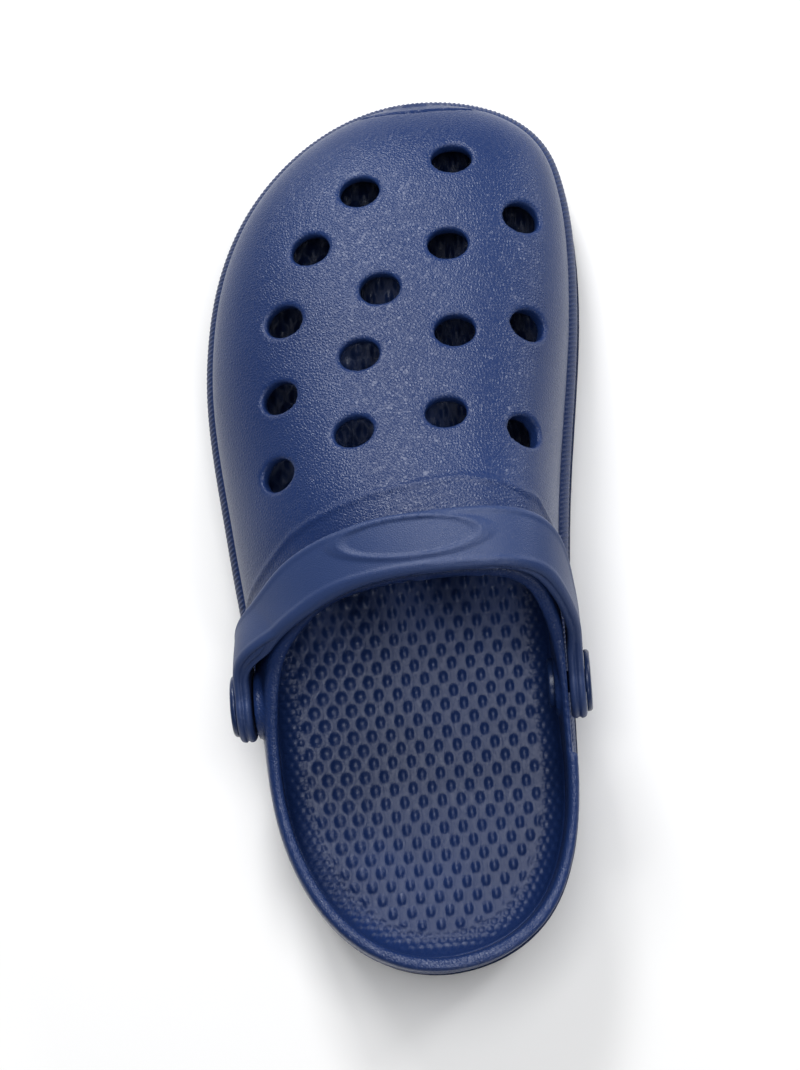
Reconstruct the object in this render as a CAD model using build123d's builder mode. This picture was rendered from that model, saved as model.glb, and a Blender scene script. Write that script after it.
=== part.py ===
"""Left foot of a moulded foam garden clog: one-piece vented shell, bonded outsole, swinging heel
strap and the two snap rivets that the strap turns on.

Millimetres. +Y runs towards the toe, +X towards the inner (medial) side of the foot, +Z up, and the
origin is on the ground under the middle of the clog.
"""
from build123d import *
from math import cos, pi, radians, sin, sqrt
import os

# Overall size of the sole in plan
HALF_LENGTH = 146.8
CENTRE_SHIFT = 8.0
TOE_TURN_IN = 6.0

# Fullness of the plan each side of its centre line: (along, outer side, inner side)
PLAN_STATIONS = [
    (-146.8, 80.0, 87.0),
    (-110.0, 72.0, 67.0),
    (-60.0, 63.8, 50.8),
    (0.0, 68.0, 47.0),
    (60.0, 80.8, 57.0),
    (110.0, 91.5, 75.5),
    (146.8, 96.0, 106.0),
]

# Height of the vamp's ridge above the welt: (along, height)
RIDGE_STATIONS = [
    (-150.0, 92.0),
    (-90.0, 78.0),
    (-40.0, 64.0),
    (-10.0, 59.5),
    (2.0, 57.0),
    (22.0, 50.0),
    (52.0, 41.0),
    (82.0, 34.0),
    (141.0, 20.3),
]
RIDGE_LEAN = 0.0035
TOE_ROUND_START = 100.0
CROWN_POWER = 2.5
VAMP_POWER = 2.2
COLLAR_POWER = 3.6
COLLAR_START = -25.0
COLLAR_RUN = 45.0

# Sole, welt and walls
OUTSOLE_THICKNESS = 9.0
WELT_HEIGHT = 32.0
TOE_LEDGE = 3.6
HEEL_LEDGE = 1.0
LEDGE_START = -95.0
LEDGE_RUN = 80.0
WALL = 4.6
TOP_SLICE = 93.2
CAVITY_TOP = 87.4
MIDSOLE_SLICES = [(-3.0, 5.0), (3.0, 3.0), (9.0, 2.0), (15.0, 1.8), (22.0, 1.8), (29.0, 1.8), (WELT_HEIGHT, 2.4)]
OUTSOLE_SLICES = [(-3.0, 3.6), (2.0, 1.4), (6.0, 0.3), (10.0, 0.0), (15.0, 0.0), (20.0, 0.0), (26.0, 0.0)]

# Footbed inside the shell: (height, inset from the sole's plan) of the cavity's lower slices
FOOTBED_SLICES = [(21.0, 21.0), (23.5, 13.5), (28.0, 9.5)]
FOOTBED_LINE = [(-150.0, 33.0), (-110.0, 28.5), (-60.0, 26.5), (-10.0, 24.5), (40.0, 21.5), (150.0, 24.0)]

# Top line of the collar in side view: (along, height)
TOP_LINE = [
    (-22.0, 97.0),
    (-29.0, 81.5),
    (-37.0, 72.5),
    (-46.0, 65.5),
    (-58.0, 60.5),
    (-70.0, 56.0),
    (-88.0, 53.0),
    (-112.0, 54.0),
    (-132.0, 57.5),
    (-150.0, 61.0),
]

# Ground line of the sole: flat between the heel bevel and the toe spring
HEEL_BEVEL_LINE = [(-160.0, 8.0), (-146.8, 4.5), (-132.0, 1.4), (-112.0, 0.0)]
TOE_SPRING_LINE = [(45.0, 0.0), (85.0, 1.6), (120.0, 6.0), (146.8, 12.0), (160.0, 15.6)]
GROOVE_PITCH = 11.0
GROOVE_PLACES = [-104 + GROOVE_PITCH * step for step in range(20)]
GROOVE_LENGTH = 96.0
GROOVE_WIDTH = 3.4
GROOVE_DEPTH = 2.2

# Vents through the vamp: (across, along) of each centre
VENT_ACROSS = 13.2
VENT_ALONG = 10.8
VENT_REACH = 10.0
VENT_PROBE = 2.0
VENTS = [
    (25.4, 118.4), (-5.6, 109.0), (47.3, 96.3), (-23.0, 90.6), (22.4, 87.8),
    (-0.6, 74.0), (-33.0, 66.8), (47.0, 58.7), (22.9, 57.5), (-8.4, 51.9),
    (-35.7, 40.9), (18.4, 29.6), (43.4, 22.3), (-11.6, 26.0), (-37.6, 15.1),
]

# Heel strap and its two snap rivets
PIVOT = (-56.0, 47.0)
OUTER_SEAT = -51.6
INNER_SEAT = 50.6
SEAT_RECESS_RADIUS = 23.5
STRAP_EAR_RADIUS = 22.5
EAR_TRIM = 16.0
STRAP_END_RADIUS = 12.0
STRAP_THICKNESS = 5.2
STRAP_CROWN_EXTRA = 2.4
STRAP_TOP = 99.6
STRAP_INSIDE_TOP = 96.2
INSIDE_LIFT = 3.0
STRAP_CLEARANCE = 0.6
END_LOW = radians(-75)
END_HIGH = radians(100)
STRAP_FRONT_EDGE = [(3.0, 99.0), (-0.5, 90.0), (-8.0, 82.5), (-21.0, 70.0), (-27.0, 58.0), (-38.0, 42.5)]
STRAP_REAR_EDGE = [(-54.0, 59.2), (-47.5, 63.0), (-41.0, 70.5), (-33.0, 82.0), (-25.5, 93.0), (-20.0, 108.0)]
RIVET_HEAD_RADIUS = 10.0
RIVET_HEAD_HEIGHT = 2.6
HEAD_ROUND = 1.8
SOCKET_ROUND = 0.8
SOCKET_BITE = 1.6
POST_RADIUS = 3.5
RUNNING_CLEARANCE = 0.08
FACE_CLEARANCE = 0.3
SOCKET_RADIUS = 8.0
SOCKET_HEIGHT = 2.4
SEAT_WALL = 4.1
BOSS_RADIUS = 11.0

RING_CENTRE = -45.0
RING_ACCURACY = 0.002
SLICE_POINTS = 40
SLICE_SHARES = [0.0, 0.1, 0.24, 0.37, 0.5, 0.62, 0.73, 0.83, 0.92, 1.0]
FAR = 200.0


def smooth_table(rows, at, column=1):
    """Value of a column of a station table at a place between stations, on a smooth curve."""
    at = min(max(at, rows[0][0]), rows[-1][0])
    index = 0
    while index < len(rows) - 2 and at > rows[index + 1][0]:
        index += 1

    def slope(i):
        low, high = max(i - 1, 0), min(i + 1, len(rows) - 1)
        return (rows[high][column] - rows[low][column]) / (rows[high][0] - rows[low][0])

    span = rows[index + 1][0] - rows[index][0]
    t = (at - rows[index][0]) / span
    start, end = rows[index][column], rows[index + 1][column]
    leave, arrive = slope(index) * span, slope(index + 1) * span
    return (
        (2 * t**3 - 3 * t**2 + 1) * start
        + (t**3 - 2 * t**2 + t) * leave
        + (3 * t**2 - 2 * t**3) * end
        + (t**3 - t**2) * arrive
    )


def ease(value):
    """Smooth step from 0 to 1."""
    value = min(max(value, 0.0), 1.0)
    return value * value * (3 - 2 * value)


def ledge(station):
    """Width of the welt's ledge outside the upper."""
    return HEEL_LEDGE + (TOE_LEDGE - HEEL_LEDGE) * ease((station - LEDGE_START) / LEDGE_RUN)


def centre_line(station):
    return CENTRE_SHIFT + TOE_TURN_IN * station / HALF_LENGTH


def half_width(station, side, inset):
    """Half width of the plan, inset all round, at a station; side is -1 outer or +1 inner."""
    reach = HALF_LENGTH - inset
    if abs(station) >= reach:
        return 0.0
    full_station = station * HALF_LENGTH / reach
    fullness = smooth_table(PLAN_STATIONS, full_station, 1 if side < 0 else 2) - inset
    return fullness * sqrt(1 - (station / reach) ** 2)


def ring_points(inside, lean=0.0):
    """Points round a level outline, from a test of whether a place is inside it."""
    middle = (centre_line(RING_CENTRE) + lean, RING_CENTRE)
    points = []
    for step in range(SLICE_POINTS):
        angle = 2 * pi * (step + 0.5) / SLICE_POINTS
        near, far = 0.0, 2 * HALF_LENGTH
        while far - near > RING_ACCURACY:
            radius = (near + far) / 2
            if inside(middle[0] + radius * cos(angle), middle[1] + radius * sin(angle)):
                near = radius
            else:
                far = radius
        points.append((middle[0] + near * cos(angle), middle[1] + near * sin(angle)))
    return points


def ridge_height(station, grow):
    """Height of the upper's ridge above the welt."""
    height = smooth_table(RIDGE_STATIONS, station) + grow
    toe_end = HALF_LENGTH - TOE_LEDGE + grow
    past = max(0.0, (station - TOE_ROUND_START) / (toe_end - TOE_ROUND_START))
    return height * sqrt(max(0.0, 1 - past**3))


def inside_plan(x, y, inset):
    side = -1 if x < centre_line(y) else 1
    return abs(x - centre_line(y)) < half_width(y, side, inset)


def inside_upper(x, y, height, grow, lift):
    """Whether a place is inside the upper's outer form, grown all round and lifted at the ridge."""
    above = height - WELT_HEIGHT
    lean = RIDGE_LEAN * above**2
    side = -1 if x - lean < centre_line(y) else 1
    width = half_width(y, side, ledge(y) - grow)
    ridge = ridge_height(y, grow + lift)
    if width <= 0.5 or ridge <= above:
        return False
    power = VAMP_POWER + (COLLAR_POWER - VAMP_POWER) * ease((COLLAR_START - y) / COLLAR_RUN)
    across = abs(x - lean - centre_line(y)) / width
    return across**CROWN_POWER + (max(above, 0.0) / ridge) ** power < 1


def level_face(points, height):
    """Closed smooth face on a level plane."""
    with BuildSketch(Plane.XY.offset(height)) as sketch:
        with BuildLine():
            Spline(*points, periodic=True)
        make_face()
    return sketch.sketch.faces()[0]


def plan_face(height, inset):
    return level_face(ring_points(lambda x, y: inside_plan(x, y, inset)), height)


def upper_faces(grow, high, lift=0.0):
    """Level slices of the upper's outer form from the welt to a height."""
    faces = []
    for share in SLICE_SHARES:
        height = WELT_HEIGHT + share * (high - WELT_HEIGHT)
        lean = RIDGE_LEAN * (height - WELT_HEIGHT) ** 2
        points = ring_points(lambda x, y: inside_upper(x, y, height, grow, lift), lean)
        faces.append(level_face(points, height))
    return faces


def side_face_on(line, *corners):
    """Closed face in side view: a smooth line of points closed by straight corners."""
    with BuildSketch(Plane.YZ) as sketch:
        with BuildLine():
            Spline(*line)
            Polyline(line[-1], *corners, line[0])
        make_face()
    return sketch.sketch.faces()[0]


def above_sole_line(rise, height):
    """Side view face from the ground line, raised by a distance, up to a height."""
    heel = [(along, level + rise) for along, level in HEEL_BEVEL_LINE]
    toe = [(along, level + rise) for along, level in TOE_SPRING_LINE]
    with BuildSketch(Plane.YZ) as sketch:
        with BuildLine():
            Spline(*heel, tangents=[(1, -0.28), (1, 0)])
            Line(heel[-1], toe[0])
            Spline(*toe, tangents=[(1, 0), (1, 0.28)])
            Polyline(toe[-1], (toe[-1][0], height), (heel[0][0], height), heel[0])
        make_face()
    return sketch.sketch.faces()[0]


def vent_plane(across, along):
    """Plane on the vamp's outer face, its Z axis square to the face."""
    def surface(x, y):
        low, high = WELT_HEIGHT, TOP_SLICE + WALL
        while high - low > RING_ACCURACY:
            middle = (low + high) / 2
            if inside_upper(x, y, middle, 0.0, 0.0):
                low = middle
            else:
                high = middle
        return low

    step = VENT_PROBE
    rise_across = (surface(across + step, along) - surface(across - step, along)) / (2 * step)
    rise_along = (surface(across, along + step) - surface(across, along - step)) / (2 * step)
    origin = (across, along, surface(across, along))
    return Plane(origin=origin, x_dir=(1, 0, rise_across), z_dir=(-rise_across, -rise_along, 1))


# Closed forms that the pieces are cut from
with BuildPart() as upper_form:
    loft(upper_faces(0.0, TOP_SLICE))

with BuildPart() as midsole_form:
    loft([plan_face(height, inset) for height, inset in MIDSOLE_SLICES])

with BuildPart() as outsole_form:
    loft([plan_face(height, inset) for height, inset in OUTSOLE_SLICES])

with BuildPart() as foot_cavity:
    footbed_faces = [plan_face(height, inset) for height, inset in FOOTBED_SLICES]
    loft(footbed_faces + upper_faces(-WALL, CAVITY_TOP), ruled=True)
    extrude(side_face_on(FOOTBED_LINE, (FAR, FAR), (-FAR, FAR)), amount=FAR, both=True, mode=Mode.INTERSECT)


def pivot_plane(across):
    """Plane square to the strap's hinge line, its Z axis along +X."""
    return Plane(origin=(across, PIVOT[0], PIVOT[1]), x_dir=(0, 1, 0), z_dir=(1, 0, 0))


def disc(across, side, radius, thickness):
    """Disc on the hinge line that starts at a place across the foot and grows outwards."""
    with BuildPart() as round_disc:
        with BuildSketch(pivot_plane(across)):
            Circle(radius)
        extrude(amount=side * thickness)
    return round_disc.part


SEATS = {"outer": (OUTER_SEAT, -1), "inner": (INNER_SEAT, 1)}


def vent_cutter(across, along):
    """Oval prism that stands square through the vamp."""
    with BuildPart() as cutter:
        with BuildSketch(vent_plane(across, along)):
            Ellipse(VENT_ACROSS / 2, VENT_ALONG / 2)
        extrude(amount=VENT_REACH, both=True)
    return cutter.part


def seat_cutters(seat, side):
    """Recess for the strap's ear, post hole and socket counterbore at one end of the hinge line."""
    face = seat - side * FACE_CLEARANCE
    return [
        disc(face, side, SEAT_RECESS_RADIUS, WALL),
        disc(face - side * SEAT_WALL, -side, SOCKET_RADIUS + FACE_CLEARANCE, SOCKET_HEIGHT),
        disc(face, -side, POST_RADIUS, WALL + SOCKET_HEIGHT),
    ]


with BuildPart() as mouth_cutter:
    extrude(side_face_on(TOP_LINE, (-FAR, FAR), (TOP_LINE[0][0], FAR)), amount=FAR, both=True)

with BuildPart() as clog_shell:
    add(midsole_form.part)
    extrude(above_sole_line(OUTSOLE_THICKNESS, FAR), amount=FAR, both=True, mode=Mode.INTERSECT)
    bosses = []
    for seat, side in SEATS.values():
        bosses.append(disc(seat - side * (FACE_CLEARANCE + WALL), side, BOSS_RADIUS, WALL))
    add([upper_form.part] + bosses)
    cutters = [foot_cavity.part, mouth_cutter.part]
    for seat, side in SEATS.values():
        cutters += seat_cutters(seat, side)
    for across, along in VENTS:
        cutters.append(vent_cutter(across, along))
    add(cutters, mode=Mode.SUBTRACT)
clog_shell.part.label = "clog_shell"

with BuildPart() as outsole:
    add(outsole_form.part)
    extrude(above_sole_line(0.0, FAR), amount=FAR, both=True, mode=Mode.INTERSECT)
    extrude(above_sole_line(OUTSOLE_THICKNESS, FAR), amount=FAR, both=True, mode=Mode.SUBTRACT)
    with Locations(*[(0, along, 0) for along in GROOVE_PLACES]):
        Box(GROOVE_LENGTH, GROOVE_WIDTH, 2 * GROOVE_DEPTH, mode=Mode.SUBTRACT)
outsole.part.label = "outsole"

# Heel strap: lies on the vamp, with flat round ears on the hinge line
with BuildPart() as strap_outside:
    loft(upper_faces(STRAP_CLEARANCE + STRAP_THICKNESS, STRAP_TOP, STRAP_CROWN_EXTRA))

with BuildPart() as strap_inside:
    loft(upper_faces(STRAP_CLEARANCE, STRAP_INSIDE_TOP, INSIDE_LIFT))


def strap_side_face():
    """Side view of the strap: front edge, round end under the rivet, rear edge."""
    end_low = (PIVOT[0] + STRAP_END_RADIUS * cos(END_LOW), PIVOT[1] + STRAP_END_RADIUS * sin(END_LOW))
    end_back = (PIVOT[0] - STRAP_END_RADIUS, PIVOT[1])
    end_high = (PIVOT[0] + STRAP_END_RADIUS * cos(END_HIGH), PIVOT[1] + STRAP_END_RADIUS * sin(END_HIGH))
    with BuildSketch(Plane.YZ) as sketch:
        with BuildLine():
            Spline(*STRAP_FRONT_EDGE, end_low)
            ThreePointArc(end_low, end_back, end_high)
            Spline(end_high, *STRAP_REAR_EDGE)
            Line(STRAP_REAR_EDGE[-1], STRAP_FRONT_EDGE[0])
        make_face()
    return sketch.sketch.faces()[0]


with BuildPart() as heel_strap:
    add(strap_outside.part)
    trims = [strap_inside.part]
    for seat, side in SEATS.values():
        trims.append(disc(seat - side * EAR_TRIM, side, STRAP_EAR_RADIUS, EAR_TRIM))
        trims.append(disc(seat + side * STRAP_THICKNESS, side, STRAP_EAR_RADIUS, WALL))
    add(trims, mode=Mode.SUBTRACT)
    add([disc(seat, side, STRAP_EAR_RADIUS, STRAP_THICKNESS) for seat, side in SEATS.values()])
    extrude(strap_side_face(), amount=FAR, both=True, mode=Mode.INTERSECT)
    hole = POST_RADIUS + RUNNING_CLEARANCE
    add([disc(seat - side * WALL, side, hole, 3 * WALL) for seat, side in SEATS.values()], mode=Mode.SUBTRACT)
heel_strap.part.label = "heel_strap"


def rivet_cap(seat, side):
    """Domed button and post: the post runs through the strap and the shell's wall."""
    head = seat + side * (STRAP_THICKNESS + FACE_CLEARANCE)
    post_length = STRAP_THICKNESS + 2 * FACE_CLEARANCE + SEAT_WALL + SOCKET_BITE
    with BuildPart() as cap:
        with BuildSketch(pivot_plane(head)):
            Circle(RIVET_HEAD_RADIUS)
        extrude(amount=side * RIVET_HEAD_HEIGHT)
        fillet(cap.edges().filter_by(GeomType.CIRCLE).sort_by(Axis.X)[0 if side < 0 else -1], HEAD_ROUND)
        with BuildSketch(pivot_plane(head)):
            Circle(POST_RADIUS)
        extrude(amount=-side * post_length)
    return cap.part


def rivet_socket(seat, side):
    """Flanged snap socket inside the shell that grips the end of the post."""
    face = seat - side * (FACE_CLEARANCE + SEAT_WALL)
    with BuildPart() as socket:
        with BuildSketch(pivot_plane(face)):
            Circle(SOCKET_RADIUS)
        extrude(amount=-side * SOCKET_HEIGHT)
        fillet(socket.edges().filter_by(GeomType.CIRCLE).sort_by(Axis.X)[-1 if side < 0 else 0], SOCKET_ROUND)
        add(disc(face, -side, POST_RADIUS, SOCKET_BITE), mode=Mode.SUBTRACT)
    return socket.part


PIECES = [clog_shell.part, outsole.part, heel_strap.part]
for name, (seat, side) in SEATS.items():
    cap = rivet_cap(seat, side)
    cap.label = f"{name}_rivet_cap"
    socket = rivet_socket(seat, side)
    socket.label = f"{name}_rivet_socket"
    PIECES += [cap, socket]

os.makedirs("parts", exist_ok=True)
for piece in PIECES:
    export_step(piece, f"parts/{piece.label}.step")
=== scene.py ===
"""Garden clog, left foot: builds the moulded shell, footbed, sole, strap and rivets round the frame."""

import math
from types import SimpleNamespace

import bmesh
import bpy
import numpy as np
from mathutils import Matrix, Vector


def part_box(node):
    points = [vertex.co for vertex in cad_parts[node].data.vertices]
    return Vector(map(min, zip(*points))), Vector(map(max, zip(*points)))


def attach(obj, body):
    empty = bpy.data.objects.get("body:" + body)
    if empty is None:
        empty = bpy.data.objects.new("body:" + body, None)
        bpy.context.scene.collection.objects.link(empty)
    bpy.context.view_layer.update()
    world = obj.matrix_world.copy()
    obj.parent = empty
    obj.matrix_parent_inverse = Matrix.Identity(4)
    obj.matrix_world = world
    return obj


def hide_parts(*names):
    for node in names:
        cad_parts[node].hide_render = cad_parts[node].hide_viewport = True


bl_info = {
    "name": "Garden Clog",
    "version": (1, 0, 0),
    "blender": (4, 5, 0),
    "location": "View3D > Sidebar > Clog",
    "description": "Builds a vented foam garden clog with a swinging heel strap",
    "category": "Add Mesh",
}

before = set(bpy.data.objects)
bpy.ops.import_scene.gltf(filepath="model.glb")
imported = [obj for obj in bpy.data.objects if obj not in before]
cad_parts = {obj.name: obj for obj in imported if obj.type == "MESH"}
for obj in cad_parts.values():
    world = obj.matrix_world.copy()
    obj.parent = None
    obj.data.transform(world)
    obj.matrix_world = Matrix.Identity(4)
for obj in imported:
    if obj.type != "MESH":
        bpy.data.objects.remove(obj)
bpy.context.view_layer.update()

MM = 0.001
SHELL_BODY = "clog"
STRAP_BODY = "strap"

# The last: the same design figures as the part, in millimetres
HALF_LENGTH = 146.8
CENTRE_SHIFT = 8.0
TOE_TURN_IN = 6.0
PLAN_STATIONS = [
    (-146.8, 80.0, 87.0),
    (-110.0, 72.0, 67.0),
    (-60.0, 63.8, 50.8),
    (0.0, 68.0, 47.0),
    (60.0, 80.8, 57.0),
    (110.0, 91.5, 75.5),
    (146.8, 96.0, 106.0),
]
RIDGE_STATIONS = [
    (-150.0, 92.0),
    (-90.0, 78.0),
    (-40.0, 64.0),
    (-10.0, 59.5),
    (2.0, 57.0),
    (22.0, 50.0),
    (52.0, 41.0),
    (82.0, 34.0),
    (141.0, 20.3),
]
RIDGE_LEAN = 0.0035
TOE_ROUND_START = 100.0
CROWN_POWER = 2.5
VAMP_POWER = 2.2
COLLAR_POWER = 3.6
WELT_HEIGHT = 32.0
TOE_LEDGE = 3.6
HEEL_LEDGE = 1.0
WALL = 4.6
OUTSOLE_THICKNESS = 9.0
TOP_LINE = [
    (-22.0, 97.0), (-29.0, 81.5), (-37.0, 72.5), (-46.0, 65.5), (-58.0, 60.5),
    (-70.0, 56.0), (-88.0, 53.0), (-112.0, 54.0), (-132.0, 57.5), (-150.0, 61.0),
]
GROUND_STATIONS = [
    (-160.0, 8.0), (-146.8, 4.5), (-132.0, 1.4), (-112.0, 0.0), (-60.0, 0.0), (0.0, 0.0),
    (45.0, 0.0), (85.0, 1.6), (120.0, 6.0), (146.8, 12.0), (160.0, 15.6),
]
FOOTBED_STATIONS = [(-150.0, 33.0), (-110.0, 28.5), (-60.0, 26.5), (-10.0, 24.5), (40.0, 21.5), (150.0, 24.0)]
VENTS = [
    (25.4, 118.4), (-5.6, 109.0), (47.3, 96.3), (-23.0, 90.6), (22.4, 87.8),
    (-0.6, 74.0), (-33.0, 66.8), (47.0, 58.7), (22.9, 57.5), (-8.4, 51.9),
    (-35.7, 40.9), (18.4, 29.6), (43.4, 22.3), (-11.6, 26.0), (-37.6, 15.1),
]
PIVOT = (-56.0, 47.0)
SEATS = {"outer": (-51.6, -1), "inner": (50.6, 1)}
STRAP_THICKNESS = 5.2
STRAP_END_RADIUS = 12.0
POST_RADIUS = 3.5
POST_DEPTH = 5.2
STRAP_FRONT_EDGE = [
    (-1.6, 101.0), (-3.6, 96.0), (-8.2, 88.0), (-14.0, 79.5), (-22.0, 69.0), (-28.0, 58.0), (-38.5, 42.5),
]
STRAP_GROW = 5.1
STRAP_CROWN = 1.2
BAND_EDGE = [
    (-60.0, -36.0), (-50.0, -20.6), (-43.0, -13.6), (-34.3, -5.9), (-26.6, -2.1), (-17.8, 1.1), (-7.7, 3.8),
    (5.1, 5.7), (14.6, 6.5), (22.5, 7.2), (35.1, 4.5), (45.0, -0.2), (48.4, -6.8), (56.0, -20.0),
]
BAND_DEPTH = 13.0
STRAP_REAR_EDGE = [(-54.0, 59.2), (-47.5, 63.0), (-41.0, 70.5), (-33.0, 82.0), (-25.5, 93.0), (-20.0, 108.0)]
STRAP_BACK_GROW = 0.75
STRAP_BACK_CROWN = 1.9
FACE_BLEND_END, FACE_BLEND_RUN = 36.0, 22.0
BACK_BLEND_END, BACK_BLEND_RUN = 27.0, 13.0
BEAD_INSET, BEAD_REACH = 1.9, 1.3
HINGE_HOLE_RADIUS = 4.0
RECESS_RADIUS = 24.0
BOSS_RADIUS = 11.0
VENT_REACH = 12.0
SIDE_INSET, SIDE_TOP = 1.7, 25.6
STRIP_START, STRIP_RISE = 26.0, 5.4
FOOTBED_TUCK = 2.0
NUB_LONG_REACH, NUB_WIDE_REACH = 2.2, 1.4
NUB_MARGIN = 8.4
BORDER_START, BORDER_END = 0.4, 7.4
HEX_ROW = 0.866


# ---------------------------------------------------------------- form of the last
def station_value(rows, at, column=1):
    """Smooth value of a station table's column at places along the clog."""
    places = np.array([row[0] for row in rows])
    values = np.array([row[column] for row in rows])
    at = np.clip(at, places[0], places[-1])
    last = len(rows) - 1
    above = np.minimum(np.arange(last + 1) + 1, last)
    below = np.maximum(np.arange(last + 1) - 1, 0)
    slopes = (values[above] - values[below]) / (places[above] - places[below])
    index = np.clip(np.searchsorted(places, at, side="right") - 1, 0, last - 1)
    span = places[index + 1] - places[index]
    t = (at - places[index]) / span
    return (
        (2 * t**3 - 3 * t**2 + 1) * values[index]
        + (t**3 - 2 * t**2 + t) * slopes[index] * span
        + (3 * t**2 - 2 * t**3) * values[index + 1]
        + (t**3 - t**2) * slopes[index + 1] * span
    )


def ease(value):
    value = np.clip(value, 0.0, 1.0)
    return value * value * (3 - 2 * value)


def smooth_max(a, b, reach):
    overlap = np.maximum(reach - np.abs(a - b), 0.0) / reach
    return np.maximum(a, b) + overlap * overlap * reach * 0.25


def smooth_min(a, b, reach):
    return -smooth_max(-a, -b, reach)


def ledge(station):
    return HEEL_LEDGE + (TOE_LEDGE - HEEL_LEDGE) * ease((station + 95) / 80)


def centre_line(station):
    return CENTRE_SHIFT + TOE_TURN_IN * station / HALF_LENGTH


def plan_fullness(station, inner_side, inset):
    """Fullness of the plan at a place along it, and that place's share of the half length."""
    share = station / (HALF_LENGTH - inset)
    full = np.clip(share, -1.0, 1.0) * HALF_LENGTH
    outer = station_value(PLAN_STATIONS, full, 1)
    inner = station_value(PLAN_STATIONS, full, 2)
    return np.where(inner_side, inner, outer) - inset, share


def half_width(station, inner_side, inset):
    """Half width of the plan, inset all round."""
    fullness, share = plan_fullness(station, inner_side, inset)
    return fullness * np.sqrt(np.maximum(1 - share**2, 0.0))


def upper_form(x, y, z, grow, lift=0.0):
    """Form of the upper: below zero inside."""
    above = z - WELT_HEIGHT
    lean = RIDGE_LEAN * above**2
    across = x - lean - centre_line(y)
    fullness, share = plan_fullness(y, across > 0, ledge(y) - grow)
    ridge = station_value(RIDGE_STATIONS, y) + grow + lift
    toe_end = HALF_LENGTH - TOE_LEDGE + grow
    past = np.clip((y - TOE_ROUND_START) / (toe_end - TOE_ROUND_START), 0.0, 1.0)
    ridge = np.maximum(ridge * np.sqrt(1 - past**3), 0.4)
    power = VAMP_POWER + (COLLAR_POWER - VAMP_POWER) * ease((-25 - y) / 45)
    rise = np.minimum(np.maximum(above, 0.0) / ridge, 1.6) ** power
    section = np.where(rise < 1, np.maximum(1 - rise, 0.0) ** (2 / CROWN_POWER), 1 - rise)
    span = 1 - share**2
    return (across / fullness) ** 2 - np.where(span > 0, span * section, span + np.minimum(section, 0.0))


def distance_to(form, x, y, z, step=0.25):
    """Distance to a form's face, from its value and its slope."""
    value = form(x, y, z)
    slope_x = form(x + step, y, z) - form(x - step, y, z)
    slope_y = form(x, y + step, z) - form(x, y - step, z)
    slope_z = form(x, y, z + step) - form(x, y, z - step)
    slope = np.sqrt(slope_x**2 + slope_y**2 + slope_z**2) / (2 * step)
    return np.clip(value / np.maximum(slope, 1e-4), -30.0, 30.0)


def smooth_line(points, per_span=12):
    """Points along a smooth curve through a few points."""
    points = np.array(points, float)
    padded = np.vstack([2 * points[0] - points[1], points, 2 * points[-1] - points[-2]])
    rows = []
    for i in range(1, len(padded) - 2):
        p0, p1, p2, p3 = padded[i - 1:i + 3]
        for t in np.linspace(0, 1, per_span, endpoint=False):
            rows.append(0.5 * (2 * p1 + (p2 - p0) * t + (2 * p0 - 5 * p1 + 4 * p2 - p3) * t**2
                               + (3 * p1 - p0 - 3 * p2 + p3) * t**3))
    rows.append(points[-1])
    return np.array(rows)


class SideOutline:
    """Signed distance to a closed outline in side view, read off a fine level grid."""

    def __init__(self, outline, low=(-175.0, 20.0), high=(20.0, 130.0), step=0.5):
        self.low, self.step = np.array(low), step
        ys = np.arange(low[0], high[0], step)
        zs = np.arange(low[1], high[1], step)
        grid_y, grid_z = np.meshgrid(ys, zs, indexing="ij")
        best = np.full(grid_y.shape, 1e9)
        inside = np.zeros(grid_y.shape, bool)
        for a, b in zip(outline, np.roll(outline, -1, axis=0)):
            edge = b - a
            length = edge @ edge
            if length < 1e-9:
                continue
            t = np.clip(((grid_y - a[0]) * edge[0] + (grid_z - a[1]) * edge[1]) / length, 0, 1)
            best = np.minimum(best, np.hypot(grid_y - a[0] - t * edge[0], grid_z - a[1] - t * edge[1]))
            if a[1] != b[1]:
                crosses = (a[1] > grid_z) != (b[1] > grid_z)
                inside ^= crosses & (grid_y < a[0] + (grid_z - a[1]) * edge[0] / edge[1])
        self.values = np.where(inside, -best, best)

    def __call__(self, y, z):
        i = np.clip((y - self.low[0]) / self.step, 0, self.values.shape[0] - 1.001)
        j = np.clip((z - self.low[1]) / self.step, 0, self.values.shape[1] - 1.001)
        i0, j0 = i.astype(int), j.astype(int)
        u, v = i - i0, j - j0
        grid = self.values
        return ((1 - u) * (1 - v) * grid[i0, j0] + u * (1 - v) * grid[i0 + 1, j0]
                + (1 - u) * v * grid[i0, j0 + 1] + u * v * grid[i0 + 1, j0 + 1])


# ---------------------------------------------------------------- meshes
def make_mesh(name, points, faces, smooth=True):
    """Mesh object from points in millimetres and faces that all have one corner count."""
    mesh = bpy.data.meshes.new(name)
    points = np.asarray(points, dtype=np.float32) * MM
    faces = np.asarray(faces, dtype=np.int32)
    mesh.vertices.add(len(points))
    mesh.vertices.foreach_set("co", points.ravel())
    mesh.loops.add(faces.size)
    mesh.loops.foreach_set("vertex_index", faces.ravel())
    mesh.polygons.add(len(faces))
    mesh.polygons.foreach_set("loop_start", np.arange(len(faces), dtype=np.int32) * faces.shape[1])
    mesh.polygons.foreach_set("loop_total", np.full(len(faces), faces.shape[1], dtype=np.int32))
    mesh.update(calc_edges=True)
    mesh.validate()
    if smooth:
        mesh.shade_smooth()
    obj = bpy.data.objects.new(name, mesh)
    bpy.context.scene.collection.objects.link(obj)
    return obj


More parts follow.
